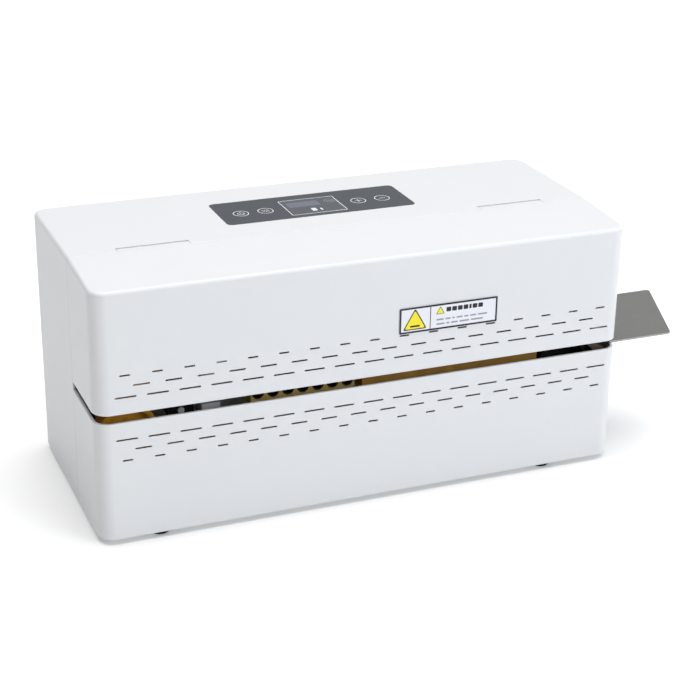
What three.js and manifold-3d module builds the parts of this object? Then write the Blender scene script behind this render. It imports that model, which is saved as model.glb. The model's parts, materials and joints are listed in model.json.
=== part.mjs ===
// Tabletop continuous band sealer for pouches. Millimetres, +Z up, front towards -Y.
// Two endless belts, one above the other, carry the mouth of a bag from right to left through a slot
// in a white cabinet, past heater blocks, cooling blocks and pressure rollers.
// Everything is modelled about the middle of the cabinet, with z = 0 at its underside. The last lines
// move the whole object so that the origin is the middle of its footprint, on the surface it stands on.

import * as THREE from 'three';
import { mergeVertices } from 'three/addons/utils/BufferGeometryUtils.js';
import Module from 'manifold-3d';

const wasm = await Module();
wasm.setup();

// ---- Driving dimensions -------------------------------------------------------------------------

const gap = 0.3; // between pieces that touch
const cabinet = { width: 500, depth: 218, height: 233, corner: 14, wall: 3 };
const coverDrop = 4.5; // the front covers' top slopes down by this much from the seam to the front
const seam = { front: -29.3, back: -28.8 }; // the front covers end here, the rear housing starts here
const slot = { low: 110.3, high: 118.3 }; // the feed slot's edges
const lip = { thickness: 1.5, reach: 5 }; // tongue of the rear housing behind the seam
const vents = { pitch: 28.13, height: 1.5, centre: 1.6 };
const ventRows = [
  { z: 153.6, count: 17, length: 9.3 }, { z: 143.8, count: 16, length: 14.8 },
  { z: 133.7, count: 17, length: 19 }, { z: 94.5, count: 17, length: 19 },
  { z: 84.8, count: 16, length: 14.8 }, { z: 75, count: 17, length: 9.3 },
];

const tab = { inner: 140, outer: 205 }; // hinge tabs of the upper cover, left and right
const hinge = { y: -23, z: cabinet.height - 3, knuckle: 3, pin: 1.5, clearance: 0.6, lug: 5, swing: 6.9 };
const label = { left: 24.3, right: 119.7, low: 155.3, high: 179.5, thickness: 0.5 };
const foot = { height: 5, radius: 9.8, left: -194, right: 181, y: 95 };
const tray = { floor: 2, rim: 14 };

const panel = { left: -94.5, right: 89.3, front: 5, back: 67, corner: 5, sunk: 1, thickness: 0.8 };
const display = { left: -31, right: 24, front: 11.7, back: 54.7 };
const keys = { power_key: -73.5, heat_key: -49.7, plus_key: 42.2, minus_key: 66.3 };
const key = { y: 33, radius: 7.8, skirt: 2.6, stem: 2.5, stemLength: 7 };
const board = { top: cabinet.height - 10.4, thickness: 1.6 };

const feedZ = 114; // the film runs at this height
const film = 0.3; // half of the gap between the two belts
const belt = { front: -81, back: -66, thickness: 0.6 };
const wheel = { radius: 27, front: -82, back: -65, rim: 4, hub: 9, web: 5, driveX: -215, idlerX: 205 };
const shaft = { radius: 4, front: -86, back: -14 };
const runUnder = film + belt.thickness + gap; // from the feed plane to what the belts slide over
const wheelRise = runUnder + wheel.radius; // from the feed plane to a wheel's centre
const beltInner = wheel.radius + gap;
const gear = { teeth: 20, front: -52, back: -44, addendum: 0.8, dedendum: 1.05, backlash: 0.5 };
const frame = { half: 238, front: -60, back: -58, low: tray.floor + gap, high: 205, flange: 20 };
const roller = { x: -168, radius: 12, pin: 3 };
const cooler = { left: -105.2, right: -6.8, front: -84, height: 17.8, holes: 7, hole: 5, skin: 0.8 };
const heater = { left: 0.4, right: 177.3, front: -84, back: -64.6, height: 17.8, bore: 4 };
const fan = { x: -56, z: 112, half: 40, depth: 25, bore: 38, hub: 16, blades: 7 };
const plate = { bottom: 110.6, thickness: 1.5, front: -97.5, back: 8.5, corner: 5 };
const rear = cabinet.depth / 2;
const socket = { x: 190, z: 42, halfWidth: 12.1, halfHeight: 8.35, depth: 17 };
const rocker = { x: 148, z: 42, halfLength: 11.3, halfWidth: 8, tilt: 8, pivotY: rear - 2 };
const fuse = { x: 112, z: 42, radius: 7 };

// ---- Finishes -----------------------------------------------------------------------------------

const finishes = {
  shell: { color: 0xf1f3f5, roughness: 0.22, metalness: 0 },
  panel: { color: 0x6b7076, roughness: 0.45, metalness: 0 },
  window: { color: 0x55595e, roughness: 0.15, metalness: 0 },
  label: { color: 0xf6f6f2, roughness: 0.4, metalness: 0 },
  rubber: { color: 0x191919, roughness: 0.85, metalness: 0 },
  steel: { color: 0x9a9a98, roughness: 0.35, metalness: 0.9 },
  zinc: { color: 0xaeb2b4, roughness: 0.5, metalness: 0.8 },
  aluminium: { color: 0xb9bcc0, roughness: 0.4, metalness: 0.9 },
  brass: { color: 0xb9903f, roughness: 0.35, metalness: 0.9 },
  belt: { color: 0x8a5a1c, roughness: 0.5, metalness: 0 },
  amber: { color: 0xb0701a, roughness: 0.3, metalness: 0 },
  nylon: { color: 0x2a2b2d, roughness: 0.6, metalness: 0 },
  black: { color: 0x151617, roughness: 0.5, metalness: 0 },
  circuit: { color: 0x1d5a38, roughness: 0.5, metalness: 0 },
  ceramic: { color: 0xd9d4c6, roughness: 0.8, metalness: 0 },
};

// ---- Shapes -------------------------------------------------------------------------------------

const alongX = new THREE.Matrix4().set(0, 0, 1, 0, 1, 0, 0, 0, 0, 1, 0, 0, 0, 0, 0, 1);
const alongY = new THREE.Matrix4().set(1, 0, 0, 0, 0, 0, -1, 0, 0, 1, 0, 0, 0, 0, 0, 1);

function solid(geometry) {
  geometry.deleteAttribute('normal');
  geometry.deleteAttribute('uv');
  const merged = mergeVertices(geometry, 1e-5);
  return new wasm.Manifold(new wasm.Mesh({
    numProp: 3,
    vertProperties: new Float32Array(merged.attributes.position.array),
    triVerts: new Uint32Array(merged.index.array),
  }));
}

function block([x0, x1], [y0, y1], [z0, z1]) {
  const box = new THREE.BoxGeometry(x1 - x0, y1 - y0, z1 - z0);
  return solid(box.translate((x0 + x1) / 2, (y0 + y1) / 2, (z0 + z1) / 2));
}

// A round bar along 'x', 'y' or 'z' from one coordinate to another, through the other two coordinates.
function bar(axis, radius, [from, to], [a, b], sides = 24) {
  const round = new THREE.CylinderGeometry(radius, radius, to - from, sides);
  const middle = (from + to) / 2;
  if (axis === 'x') return solid(round.rotateZ(-Math.PI / 2).translate(middle, a, b));
  if (axis === 'y') return solid(round.translate(a, middle, b));
  return solid(round.rotateX(Math.PI / 2).translate(a, b, middle));
}

function tube(axis, outer, inner, [from, to], centre, sides = 24) {
  return bar(axis, outer, [from, to], centre, sides)
    .subtract(bar(axis, inner, [from - 1, to + 1], centre, sides));
}

function polygon(points) {
  return new THREE.Shape(points.map(([a, b]) => new THREE.Vector2(a, b)));
}

// A flat outline extruded along z, along x (outline in y and z) or along y (outline in x and z).
function prism(outline, [from, to], axis = 'z', curveSegments = 6) {
  const depth = to - from;
  const raised = new THREE.ExtrudeGeometry(outline, { depth, bevelEnabled: false, curveSegments });
  if (axis === 'x') return solid(raised.applyMatrix4(alongX).translate(from, 0, 0));
  if (axis === 'y') return solid(raised.applyMatrix4(alongY).translate(0, to, 0));
  return solid(raised.translate(0, 0, from));
}

function roundedRectangle([x0, x1], [y0, y1], radius) {
  const outline = new THREE.Shape();
  outline.absarc(x1 - radius, y0 + radius, radius, -Math.PI / 2, 0);
  outline.absarc(x1 - radius, y1 - radius, radius, 0, Math.PI / 2);
  outline.absarc(x0 + radius, y1 - radius, radius, Math.PI / 2, Math.PI);
  outline.absarc(x0 + radius, y0 + radius, radius, Math.PI, 1.5 * Math.PI);
  return outline;
}

function union(pieces) {
  return pieces.reduce((whole, piece) => whole.add(piece));
}

const machine = new THREE.Group();

function piece(name, shape, finish) {
  const { vertProperties, triVerts } = shape.getMesh();
  const geometry = new THREE.BufferGeometry();
  geometry.setAttribute('position', new THREE.BufferAttribute(vertProperties, 3));
  geometry.setIndex(new THREE.BufferAttribute(triVerts, 1));
  geometry.computeVertexNormals();
  const mesh = new THREE.Mesh(geometry, new THREE.MeshStandardMaterial(finishes[finish]));
  mesh.name = name;
  machine.add(mesh);
}

// ---- Cabinet ------------------------------------------------------------------------------------

// The cabinet's outline set in by an offset, as an upright column.
function column(offset, heights) {
  const x = cabinet.width / 2 - offset;
  const y = cabinet.depth / 2 - offset;
  return prism(roundedRectangle([-x, x], [-y, y], cabinet.corner - offset), heights);
}

const wide = [-cabinet.width, cabinet.width];
const frontOnly = block(wide, [-cabinet.depth, seam.front], [-50, 2 * cabinet.height]);
const backOnly = block(wide, [seam.back, cabinet.depth], [-50, 2 * cabinet.height]);

// Everything under the front covers' sloping top, lowered by an offset.
function underSlope(offset) {
  const front = -cabinet.depth;
  const fall = coverDrop * (front - seam.front) / (seam.front + cabinet.depth / 2);
  const top = cabinet.height - offset;
  return prism(polygon([
    [front, -50], [seam.front + 20, -50], [seam.front + 20, top], [seam.front, top], [front, top + fall],
  ]), wide, 'x');
}

function ventSlots(rows) {
  return union(rows.flatMap(({ z, count, length }) => Array.from({ length: count }, (_, i) => {
    const x = vents.centre + (i - (count - 1) / 2) * vents.pitch;
    return block([x - length / 2, x + length / 2], [-rear - 1, -rear + cabinet.wall + 1],
      [z - vents.height / 2, z + vents.height / 2]);
  })));
}

function lowerFrontCover() {
  const walls = column(0, [0, slot.low]).subtract(column(cabinet.wall, [-1, slot.low + 1]));
  return walls.intersect(frontOnly).subtract(ventSlots(ventRows.filter(({ z }) => z < slot.low)));
}

function upperFrontCover() {
  const outside = column(0, [slot.high, cabinet.height]).intersect(underSlope(0));
  const inside = column(cabinet.wall, [slot.high - 1, cabinet.height]).intersect(underSlope(cabinet.wall));
  const swingRoom = bar('x', hinge.swing, wide, [hinge.y, hinge.z], 48);
  const shell = outside.subtract(inside).intersect(frontOnly).subtract(swingRoom)
    .subtract(ventSlots(ventRows.filter(({ z }) => z > slot.high)));
  const leaves = [-1, 1].map((side) => {
    const ends = [side * tab.inner, side * tab.outer].sort((a, b) => a - b);
    const leaf = block(ends, [seam.front - 2, hinge.y], [hinge.z, cabinet.height]);
    const knuckle = bar('x', hinge.knuckle, ends, [hinge.y, hinge.z], 24);
    return leaf.add(knuckle).subtract(bar('x', hinge.pin + gap, wide, [hinge.y, hinge.z], 16));
  });
  return union([shell, ...leaves]);
}

function hingeLugs() {
  return union([-1, 1].flatMap((side) => [tab.inner - hinge.lug, tab.outer + gap].map((from) => {
    const start = from + (from < tab.inner ? -gap : 0);
    const ends = [side * start, side * (start + hinge.lug)].sort((a, b) => a - b);
    return block(ends, [seam.back, hinge.y + 2 * hinge.knuckle], [hinge.z - 4, cabinet.height - 1]);
  })));
}

function hingeNotches() {
  return union([-1, 1].map((side) => {
    const ends = [side * (tab.inner - gap), side * (tab.outer + gap)].sort((a, b) => a - b);
    const back = hinge.y + hinge.knuckle + hinge.clearance;
    return block(ends, [seam.front - 20, back], [hinge.z - 6, cabinet.height + 1]);
  }));
}

function panelCuts() {
  const pocket = roundedRectangle([panel.left - gap, panel.right + gap],
    [panel.front - gap, panel.back + gap], panel.corner);
  const sunkTo = cabinet.height - panel.sunk;
  const through = [cabinet.height - 10, cabinet.height + 1];
  return union([
    prism(pocket, [sunkTo, cabinet.height + 1]),
    block([display.left + 2, display.right - 2], [display.front + 2, display.back - 2], through),
    ...Object.values(keys).map((x) => bar('z', key.radius + 2 * gap, through, [x, key.y])),
  ]);
}

function rearCuts() {
  const through = [rear - 10, rear + 5];
  const grille = Array.from({ length: 12 }, (_, i) => {
    const x = -200 + 8 * i;
    return block([x, x + 2.5], through, [70, 115]);
  });
  return union([
    block([socket.x - 14, socket.x + 14], through, [socket.z - 10.3, socket.z + 10.3]),
    block([rocker.x - 10.8, rocker.x + 10.8], through, [rocker.z - 14.3, rocker.z + 14.3]),
    bar('y', fuse.radius + gap, through, [fuse.x, fuse.z]),
    ...grille,
  ]);
}

function rearHousing() {
  const shell = column(0, [0, cabinet.height])
    .subtract(column(cabinet.wall, [-1, cabinet.height - cabinet.wall])).intersect(backOnly);
  const lipTop = cabinet.height - cabinet.wall - gap;
  const tongueOutside = column(cabinet.wall + gap, [tray.rim + 1, lipTop]);
  const inset = cabinet.wall + gap + lip.thickness;
  const tongueInside = column(inset, [tray.rim, lipTop - lip.thickness]);
  const reach = block(wide, [seam.back - lip.reach, seam.back + 4], [0, cabinet.height]);
  const root = column(cabinet.wall - 1, [tray.rim + 1, cabinet.height - 1]).subtract(tongueInside)
    .intersect(block(wide, [seam.back, seam.back + 4], [0, cabinet.height]));
  const tongue = tongueOutside.subtract(tongueInside).intersect(reach).add(root);
  const slotEnd = block(wide, [-cabinet.depth, seam.back], [slot.low - 3, slot.high + 3]);
  const slopeRoom = block(wide, [-cabinet.depth, seam.back], [lipTop - 2 * gap, cabinet.height]);
  return shell.add(tongue.subtract(slotEnd).subtract(slopeRoom))
    .subtract(hingeNotches()).add(hingeLugs())
    .subtract(bar('x', hinge.pin + gap, [-tab.outer - 4, tab.outer + 4], [hinge.y, hinge.z], 16))
    .subtract(panelCuts()).subtract(rearCuts());
}

function buildCabinet() {
  piece('rear_housing', rearHousing(), 'shell');
  piece('lower_front_cover', lowerFrontCover(), 'shell');
  piece('upper_front_cover', upperFrontCover(), 'shell');
  const rim = column(cabinet.wall + gap, [0, tray.rim]);
  piece('base_tray', rim.subtract(column(cabinet.wall + 2 * gap + 1, [tray.floor, tray.rim + 1])), 'zinc');
  for (const [side, x] of [['left', -tab.outer], ['right', tab.inner]]) {
    const ends = [x - 3, x + tab.outer - tab.inner + 3];
    piece(`cover_hinge_pin_${side}`, bar('x', hinge.pin, ends, [hinge.y, hinge.z], 16), 'steel');
  }
  const front = -rear - gap;
  piece('front_label', prism(
    roundedRectangle([label.left, label.right], [label.low, label.high], 1),
    [front - label.thickness, front], 'y', 3), 'label');
  for (const [end, y] of [['front', -foot.y], ['rear', foot.y]]) {
    for (const [side, x] of [['left', foot.left], ['right', foot.right]]) {
      const pad = new THREE.CylinderGeometry(foot.radius, foot.radius - 1.2, foot.height - gap, 28);
      pad.rotateX(Math.PI / 2).translate(x, y, -(foot.height + gap) / 2);
      piece(`foot_${end}_${side}`, solid(pad), 'rubber');
    }
  }
}

// ---- Control panel ------------------------------------------------------------------------------

function buildPanel() {
  const low = cabinet.height - panel.sunk + gap;
  const high = low + panel.thickness;
  const window = [[display.left, display.right], [display.front, display.back]];
  const hole = window.map(([from, to]) => [from - gap, to + gap]);
  const overlay = prism(roundedRectangle([panel.left, panel.right], [panel.front, panel.back],
    panel.corner - gap), [low, high])
    .subtract(prism(roundedRectangle(...hole, 2), [low - 1, high + 1], 'z', 3))
    .subtract(union(Object.values(keys).map((x) => bar('z', key.radius + gap, [low - 1, high + 1],
      [x, key.y]))));
  piece('control_panel_overlay', overlay, 'panel');
  piece('display_window', prism(roundedRectangle(...window, 2), [low, high], 'z', 3), 'window');
  for (const [name, x] of Object.entries(keys)) {
    const cap = bar('z', key.radius, [high - key.skirt, high], [x, key.y]);
    const stem = bar('z', key.stem, [high - key.skirt - key.stemLength, high - key.skirt + 1], [x, key.y], 16);
    piece(name, cap.add(stem), 'panel');
  }
  const switchTop = high - key.skirt - key.stemLength - 0.6;
  const switches = Object.values(keys).map((x) => block([x - 3, x + 3], [key.y - 3, key.y + 3],
    [board.top - 1, switchTop]));
  const chips = [[-70, 52], [50, 14]].map(([x, y]) => block([x, x + 14], [y, y + 8],
    [board.top - board.thickness - 2, board.top - 1]));
  const sheet = block([-96, 92], [7, 66], [board.top - board.thickness, board.top]);
  const posts = [-88, 84].flatMap((x) => [12, 60].map((y) => bar('z', 3,
    [board.top - 1, cabinet.height - cabinet.wall - gap], [x, y], 16)));
  piece('control_board', union([sheet, ...switches, ...chips, ...posts]), 'circuit');
  piece('display_module', block([display.left - 3, display.right + 3],
    [display.front - 2.5, display.back + 2.5], [board.top + gap, cabinet.height - 3.6]), 'black');
}

// ---- Belts, wheels and gears --------------------------------------------------------------------

// A spur gear's outline with involute flanks, with a tooth or a space pointing along the start angle.
function gearOutline(startAngle) {
  const pitchRadius = wheelRise;
  const module = 2 * pitchRadius / gear.teeth;
  const pressure = THREE.MathUtils.degToRad(20);
  const base = pitchRadius * Math.cos(pressure);
  const involute = (radius) => {
    const angle = Math.acos(Math.min(1, base / radius));
    return Math.tan(angle) - angle;
  };
  const halfTooth = (Math.PI * module / 2 - gear.backlash) / 2 / pitchRadius;
  const halfAngle = (radius) => halfTooth + involute(pitchRadius) - involute(Math.max(radius, base));
  const root = pitchRadius - gear.dedendum * module;
  const tip = pitchRadius + gear.addendum * module;
  const radii = [root, base + 0.2, pitchRadius, tip];
  const points = [];
  for (let tooth = 0; tooth < gear.teeth; tooth += 1) {
    const centre = startAngle + 2 * Math.PI * tooth / gear.teeth;
    const flank = (radius, side) => {
      const angle = centre + side * halfAngle(radius);
      points.push([radius * Math.cos(angle), radius * Math.sin(angle)]);
    };
    radii.forEach((radius) => flank(radius, -1));
    [...radii].reverse().forEach((radius) => flank(radius, 1));
  }
  return polygon(points);
}

function spokedWheel(x, z) {
  const body = bar('y', wheel.radius, [wheel.front, wheel.back], [x, z], 36);
  const middle = (wheel.front + wheel.back) / 2;
  const recess = (ends) => tube('y', wheel.radius - wheel.rim, wheel.hub, ends, [x, z]);
  return body.subtract(recess([wheel.front - 1, middle - wheel.web / 2]))
    .subtract(recess([middle + wheel.web / 2, wheel.back + 1]))
    .subtract(bar('y', shaft.radius + gap, [-100, 0], [x, z], 16));
}

function beltLoop(z) {
  const stadium = (radius) => {
    const outline = new THREE.Shape();
    outline.absarc(wheel.idlerX, z, radius, -Math.PI / 2, Math.PI / 2);
    outline.absarc(wheel.driveX, z, radius, Math.PI / 2, 1.5 * Math.PI);
    return outline;
  };
  return prism(stadium(beltInner + belt.thickness), [belt.front, belt.back], 'y', 16)
    .subtract(prism(stadium(beltInner), [belt.front - 1, belt.back + 1], 'y', 16));
}

function driveShaft(z, back) {
  return bar('y', shaft.radius, [shaft.front, back], [wheel.driveX, z], 16);
}

// The lower set hangs below the feed plane (up = -1), the upper set stands above it (up = 1).
function buildBeltSet(level, up) {
  const z = feedZ + up * wheelRise;
  const facing = up < 0 ? Math.PI / 2 : -Math.PI / 2 + Math.PI / gear.teeth;
  piece(`${level}_belt`, beltLoop(z), 'belt');
  piece(`${level}_drive_wheel`, spokedWheel(wheel.driveX, z), 'amber');
  piece(`${level}_drive_shaft`, driveShaft(z, up < 0 ? shaft.back : gear.back + 4), 'steel');
  const blank = prism(gearOutline(facing), [gear.front, gear.back], 'y');
  const placed = blank.translate([wheel.driveX, 0, z]);
  piece(`${level}_drive_gear`, placed.subtract(bar('y', shaft.radius + gap, [-100, 0],
    [wheel.driveX, z])), 'nylon');
  const bush = tube('y', 8, shaft.radius + gap, [frame.front - 3, frame.back + 3], [wheel.driveX, z])
    .add(tube('y', 12, shaft.radius + gap, [frame.front - 3, frame.front - gap], [wheel.driveX, z]));
  piece(`${level}_shaft_bush`, bush, 'brass');

  piece(`${level}_idler_wheel`, spokedWheel(wheel.idlerX, z), 'nylon');
  const head = bar('y', 7, [shaft.front, wheel.front - 1], [wheel.idlerX, z], 20);
  const collar = bar('y', 8, [wheel.back + 1, frame.front - gap], [wheel.idlerX, z], 20);
  const nut = bar('y', 7, [frame.back + gap, frame.back + 5], [wheel.idlerX, z], 6);
  const rod = bar('y', shaft.radius, [shaft.front, frame.back + 6], [wheel.idlerX, z], 16);
  piece(`${level}_idler_axle`, union([head, collar, nut, rod]), 'steel');
}

function bracket(up, [x0, x1], [y0, y1], [near, far]) {
  const heights = [feedZ + up * near, feedZ + up * far].sort((a, b) => a - b);
  return block([x0, x1], [y0, y1], heights);
}

function buildRoller(level, up) {
  const z = feedZ + up * (runUnder + roller.radius);
  piece(`${level}_pressure_roller`, tube('y', roller.radius, roller.pin + gap,
    [belt.front, belt.back], [roller.x, z]), 'rubber');
  const arm = bracket(up, [roller.x - 9, -133], [-63.5, frame.front - gap], [5, 24]);
  const web = bracket(up, [-150, -133], [-84, -63.5], [9.5, 21]);
  const pin = bar('y', roller.pin, [belt.front - 1.5, -62], [roller.x, z], 20);
  piece(`${level}_roller_arm`, union([arm, web, pin]), 'zinc');
}

function buildHeating(level, up) {
  const bottom = runUnder + cooler.height;
  const coolerBlock = bracket(up, [cooler.left, cooler.right], [cooler.front, frame.front - gap],
    [runUnder, bottom]);
  const pitch = (cooler.right - cooler.left) / cooler.holes;
  const holeZ = feedZ + up * (runUnder + cooler.skin + cooler.hole);
  const holes = Array.from({ length: cooler.holes }, (_, i) => bar('y', cooler.hole, [-90, -50],
    [cooler.left + pitch * (i + 0.5), holeZ], 20));
  piece(`${level}_cooling_block`, coolerBlock.subtract(union(holes)), 'brass');

  const heaterZ = feedZ + up * (runUnder + heater.height / 2);
  const boreCentre = [(heater.front + heater.back) / 2, heaterZ];
  const heaterBlock = bracket(up, [heater.left, heater.right], [heater.front, heater.back],
    [runUnder, runUnder + heater.height]);
  piece(`${level}_heater_block`, heaterBlock.subtract(bar('x', heater.bore + gap, [-10, 200],
    boreCentre)), 'brass');
  piece(`${level}_heater_cartridge`, bar('x', heater.bore, [heater.left + 4, heater.right - 4],
    boreCentre), 'steel');
  piece(`${level}_heater_insulator`, bracket(up, [heater.left, heater.right],
    [heater.back + gap, frame.front - gap], [runUnder, runUnder + heater.height]), 'ceramic');
}

function mainFramePlate() {
  const wall = block([-frame.half, frame.half], [frame.front, frame.back], [frame.low, frame.high]);
  const flange = block([-frame.half, frame.half], [frame.front, frame.front + frame.flange],
    [frame.low, frame.low + 2]);
  const through = [frame.front - 5, frame.back + 5];
  const holes = [-1, 1].flatMap((up) => {
    const z = feedZ + up * wheelRise;
    return [bar('y', 8 + gap, through, [wheel.driveX, z]),
      bar('y', shaft.radius + gap, through, [wheel.idlerX, z], 24)];
  });
  const airWindow = block([cooler.left + 4, cooler.right - 4], through, [feedZ - 17, feedZ + 17]);
  return wall.add(flange).subtract(union([...holes, airWindow]));
}

// ---- Drive and cooling behind the frame plate ---------------------------------------------------

function buildMotor() {
  const centre = [wheel.driveX, feedZ - wheelRise];
  const face = -25;
  const gearbox = bar('y', 27, [face, face + 36], centre);
  const can = bar('y', 22, [face + 36, face + 86], centre);
  const tail = bar('y', 9, [face + 86, face + 92], centre, 16);
  const bore = bar('y', shaft.radius + gap, [face - 1, shaft.back + 2], centre);
  piece('gear_motor', union([gearbox, can, tail]).subtract(bore), 'nylon');
  const wall = block([-243, -186], [face - 2.5, face - gap], [frame.low, 116]);
  const flange = block([-243, -186], [face - 2.5, face + 20], [frame.low, frame.low + 2.2]);
  piece('motor_bracket', wall.add(flange).subtract(bar('y', 10, [face - 5, face + 1], centre)), 'zinc');
}

function buildFan() {
  const front = frame.back + gap;
  const back = front + fan.depth;
  const centre = [fan.x, fan.z];
  const square = [[fan.x - fan.half, fan.x + fan.half], [front, back], [fan.z - fan.half, fan.z + fan.half]];
  const duct = block(...square).subtract(bar('y', fan.bore, [front - 1, back + 1], centre, 32));
  const stator = bar('y', fan.hub, [back - 4, back], centre);
  const struts = [0, 1, 2].map((i) => block([-2, 2], [back - 3, back], [0, fan.bore + 1])
    .rotate([0, 120 * i + 60, 0]).translate([fan.x, 0, fan.z]));
  const pin = bar('y', 1.5, [front + 8, back - 1], centre, 16);
  piece('fan_frame', union([duct, stator, ...struts, pin]), 'black');
  const hub = bar('y', fan.hub, [front + 3, back - 5], centre);
  const middle = (front + back - 2) / 2;
  const blades = Array.from({ length: fan.blades }, (_, i) => block([-9, 9], [-0.8, 0.8], [12, fan.bore - 2])
    .rotate([0, 0, 38]).translate([0, middle, 0]).rotate([0, 360 * i / fan.blades, 0])
    .translate([fan.x, 0, fan.z]));
  piece('fan_rotor', union([hub, ...blades])
    .subtract(bar('y', 1.5 + gap, [front + 7, back], centre, 16)), 'nylon');
}

// ---- Mains side ---------------------------------------------------------------------------------

function buildPowerSupply() {
  const base = tray.floor + gap;
  const sheet = block([50, 215], [-5, 75], [10, 11.6]);
  const posts = [55, 210].flatMap((x) => [0, 70].map((y) => bar('z', 3, [base, 11], [x, y], 16)));
  const transformer = block([150, 205], [10, 55], [11, 48]);
  const capacitors = [80, 102].map((x) => bar('z', 9, [11, 38], [x, 55], 24));
  const heatSink = union([0, 1, 2, 3, 4].map((i) => block([62, 130], [4 + 6 * i, 6.5 + 6 * i], [13, 40]))
    .concat(block([62, 130], [4, 30.5], [11, 15])));
  piece('power_supply_board', union([sheet, ...posts, transformer, ...capacitors, heatSink]), 'circuit');
}

function buildInlet() {
  const { x, z, halfWidth, halfHeight, depth } = socket;
  const face = rear + gap;
  const flange = block([x - 16, x + 16], [face, face + 2], [z - 12.5, z + 12.5]);
  const body = block([x - 13.7, x + 13.7], [face - depth - 5, face + 1], [z - 10, z + 10]);
  const recess = block([x - halfWidth, x + halfWidth], [face - depth, face + 5],
    [z - halfHeight, z + halfHeight]);
  const blades = [[-7, -2], [0, 2], [7, -2]].flatMap(([dx, dz]) => [
    block([x + dx - 1, x + dx + 1], [face - depth - 1, face - 2], [z + dz - 2, z + dz + 2]),
    block([x + dx - 3, x + dx + 3], [face - depth - 13, face - depth - 4], [z + dz - 0.5, z + dz + 0.5]),
  ]);
  piece('power_inlet', union([flange.add(body).subtract(recess), ...blades]), 'black');
}

function buildSwitch() {
  const { x, z, halfLength, halfWidth, tilt, pivotY } = rocker;
  const face = rear + gap;
  const flange = block([x - 12.5, x + 12.5], [face, face + 2], [z - 16, z + 16]);
  const body = block([x - 10.5, x + 10.5], [face - 22, face + 1], [z - 14, z + 14]);
  const cavity = block([x - halfWidth - gap, x + halfWidth + gap], [face - 12, face + 5],
    [z - halfLength - 1, z + halfLength + 1]);
  piece('power_switch_frame', flange.add(body).subtract(cavity), 'black');
  const paddle = prism(polygon([
    [-6, -4], [-6, 4], [-1, halfLength], [4.2, halfLength], [2.2, 0], [4.2, -halfLength], [-1, -halfLength],
  ].reverse()), [x - halfWidth, x + halfWidth], 'x');
  piece('power_switch_rocker', paddle.rotate([tilt, 0, 0]).translate([0, pivotY, z]), 'black');
  const holder = bar('y', fuse.radius, [face - 30, face], [fuse.x, fuse.z], 24)
    .add(bar('y', fuse.radius + 2, [face, face + 3], [fuse.x, fuse.z], 24));
  const coinSlot = block([fuse.x - 5, fuse.x + 5], [face + 2, face + 4], [fuse.z - 0.7, fuse.z + 0.7]);
  piece('fuse_holder', holder.subtract(coinSlot), 'black');
}

// ---- Film support -------------------------------------------------------------------------------

function supportPlate() {
  const side = cabinet.width / 2;
  const { front, back, corner, bottom, thickness } = plate;
  const outline = new THREE.Shape();
  outline.moveTo(side - 3, front);
  outline.lineTo(314 - corner, front);
  outline.quadraticCurveTo(314, front, 314 + 0.35 * corner, front + 0.93 * corner);
  outline.lineTo(354 - 0.35 * corner, back - 0.93 * corner);
  outline.quadraticCurveTo(354, back, 354 - corner, back);
  outline.lineTo(side + 0.6, back);
  outline.lineTo(side + 0.6, -31);
  outline.lineTo(228, -31);
  outline.lineTo(228, -56);
  outline.lineTo(side - 3, -56);
  return prism(outline, [bottom, bottom + thickness], 'z', 5);
}

function buildFilmSupport() {
  piece('support_plate', supportPlate(), 'steel');
  const legTop = plate.bottom - gap;
  const leg = block([228, frame.half], [frame.back + gap, frame.back + 2.3], [96, legTop]);
  const shelf = block([228, frame.half], [frame.back + gap, -33], [legTop - 2, legTop]);
  piece('support_plate_bracket', leg.add(shelf), 'zinc');
  const ramp = prism(polygon([[238, 98], [246, 98], [246, 105], [226, 113], [222, 113], [232, 104]]),
    [-98, -61], 'y');
  const tail = block([234, 237.5], [-62, frame.front - gap], [98, 106]);
  piece('infeed_guide', ramp.add(tail), 'brass');
}

// ---- The whole machine --------------------------------------------------------------------------

buildCabinet();
buildPanel();
piece('main_frame_plate', mainFramePlate(), 'aluminium');
for (const [level, up] of [['lower', -1], ['upper', 1]]) {
  buildBeltSet(level, up);
  buildRoller(level, up);
  buildHeating(level, up);
}
buildMotor();
buildFan();
buildPowerSupply();
buildInlet();
buildSwitch();
buildFilmSupport();

const extent = new THREE.Box3().setFromObject(machine);
const middle = extent.getCenter(new THREE.Vector3());
machine.position.set(-middle.x, -middle.y, -extent.min.z);
const bandSealer = new THREE.Group();
bandSealer.add(machine);

export default bandSealer;
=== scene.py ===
"""A white table-top band sealer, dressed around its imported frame. Lengths are cabinet millimetres."""

import json
import math

import bmesh
import bpy
from mathutils import Matrix, Vector


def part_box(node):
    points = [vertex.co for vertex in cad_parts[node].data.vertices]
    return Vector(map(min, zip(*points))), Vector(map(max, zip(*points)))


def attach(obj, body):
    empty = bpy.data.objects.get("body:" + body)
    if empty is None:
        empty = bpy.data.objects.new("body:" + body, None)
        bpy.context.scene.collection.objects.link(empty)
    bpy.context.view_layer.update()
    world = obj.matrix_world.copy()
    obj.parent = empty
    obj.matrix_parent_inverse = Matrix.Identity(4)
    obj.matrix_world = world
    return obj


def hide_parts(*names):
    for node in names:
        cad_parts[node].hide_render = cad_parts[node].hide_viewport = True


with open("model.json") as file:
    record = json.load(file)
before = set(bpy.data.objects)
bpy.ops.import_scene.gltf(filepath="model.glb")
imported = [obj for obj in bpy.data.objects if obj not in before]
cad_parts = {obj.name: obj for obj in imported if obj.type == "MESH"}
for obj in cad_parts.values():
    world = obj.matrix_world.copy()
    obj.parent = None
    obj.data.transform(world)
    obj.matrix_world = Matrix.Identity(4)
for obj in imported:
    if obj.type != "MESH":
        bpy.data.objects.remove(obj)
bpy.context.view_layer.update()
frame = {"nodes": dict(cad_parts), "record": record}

# ---- Driving dimensions, in the cabinet's own millimetres ---------------------------------------

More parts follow.
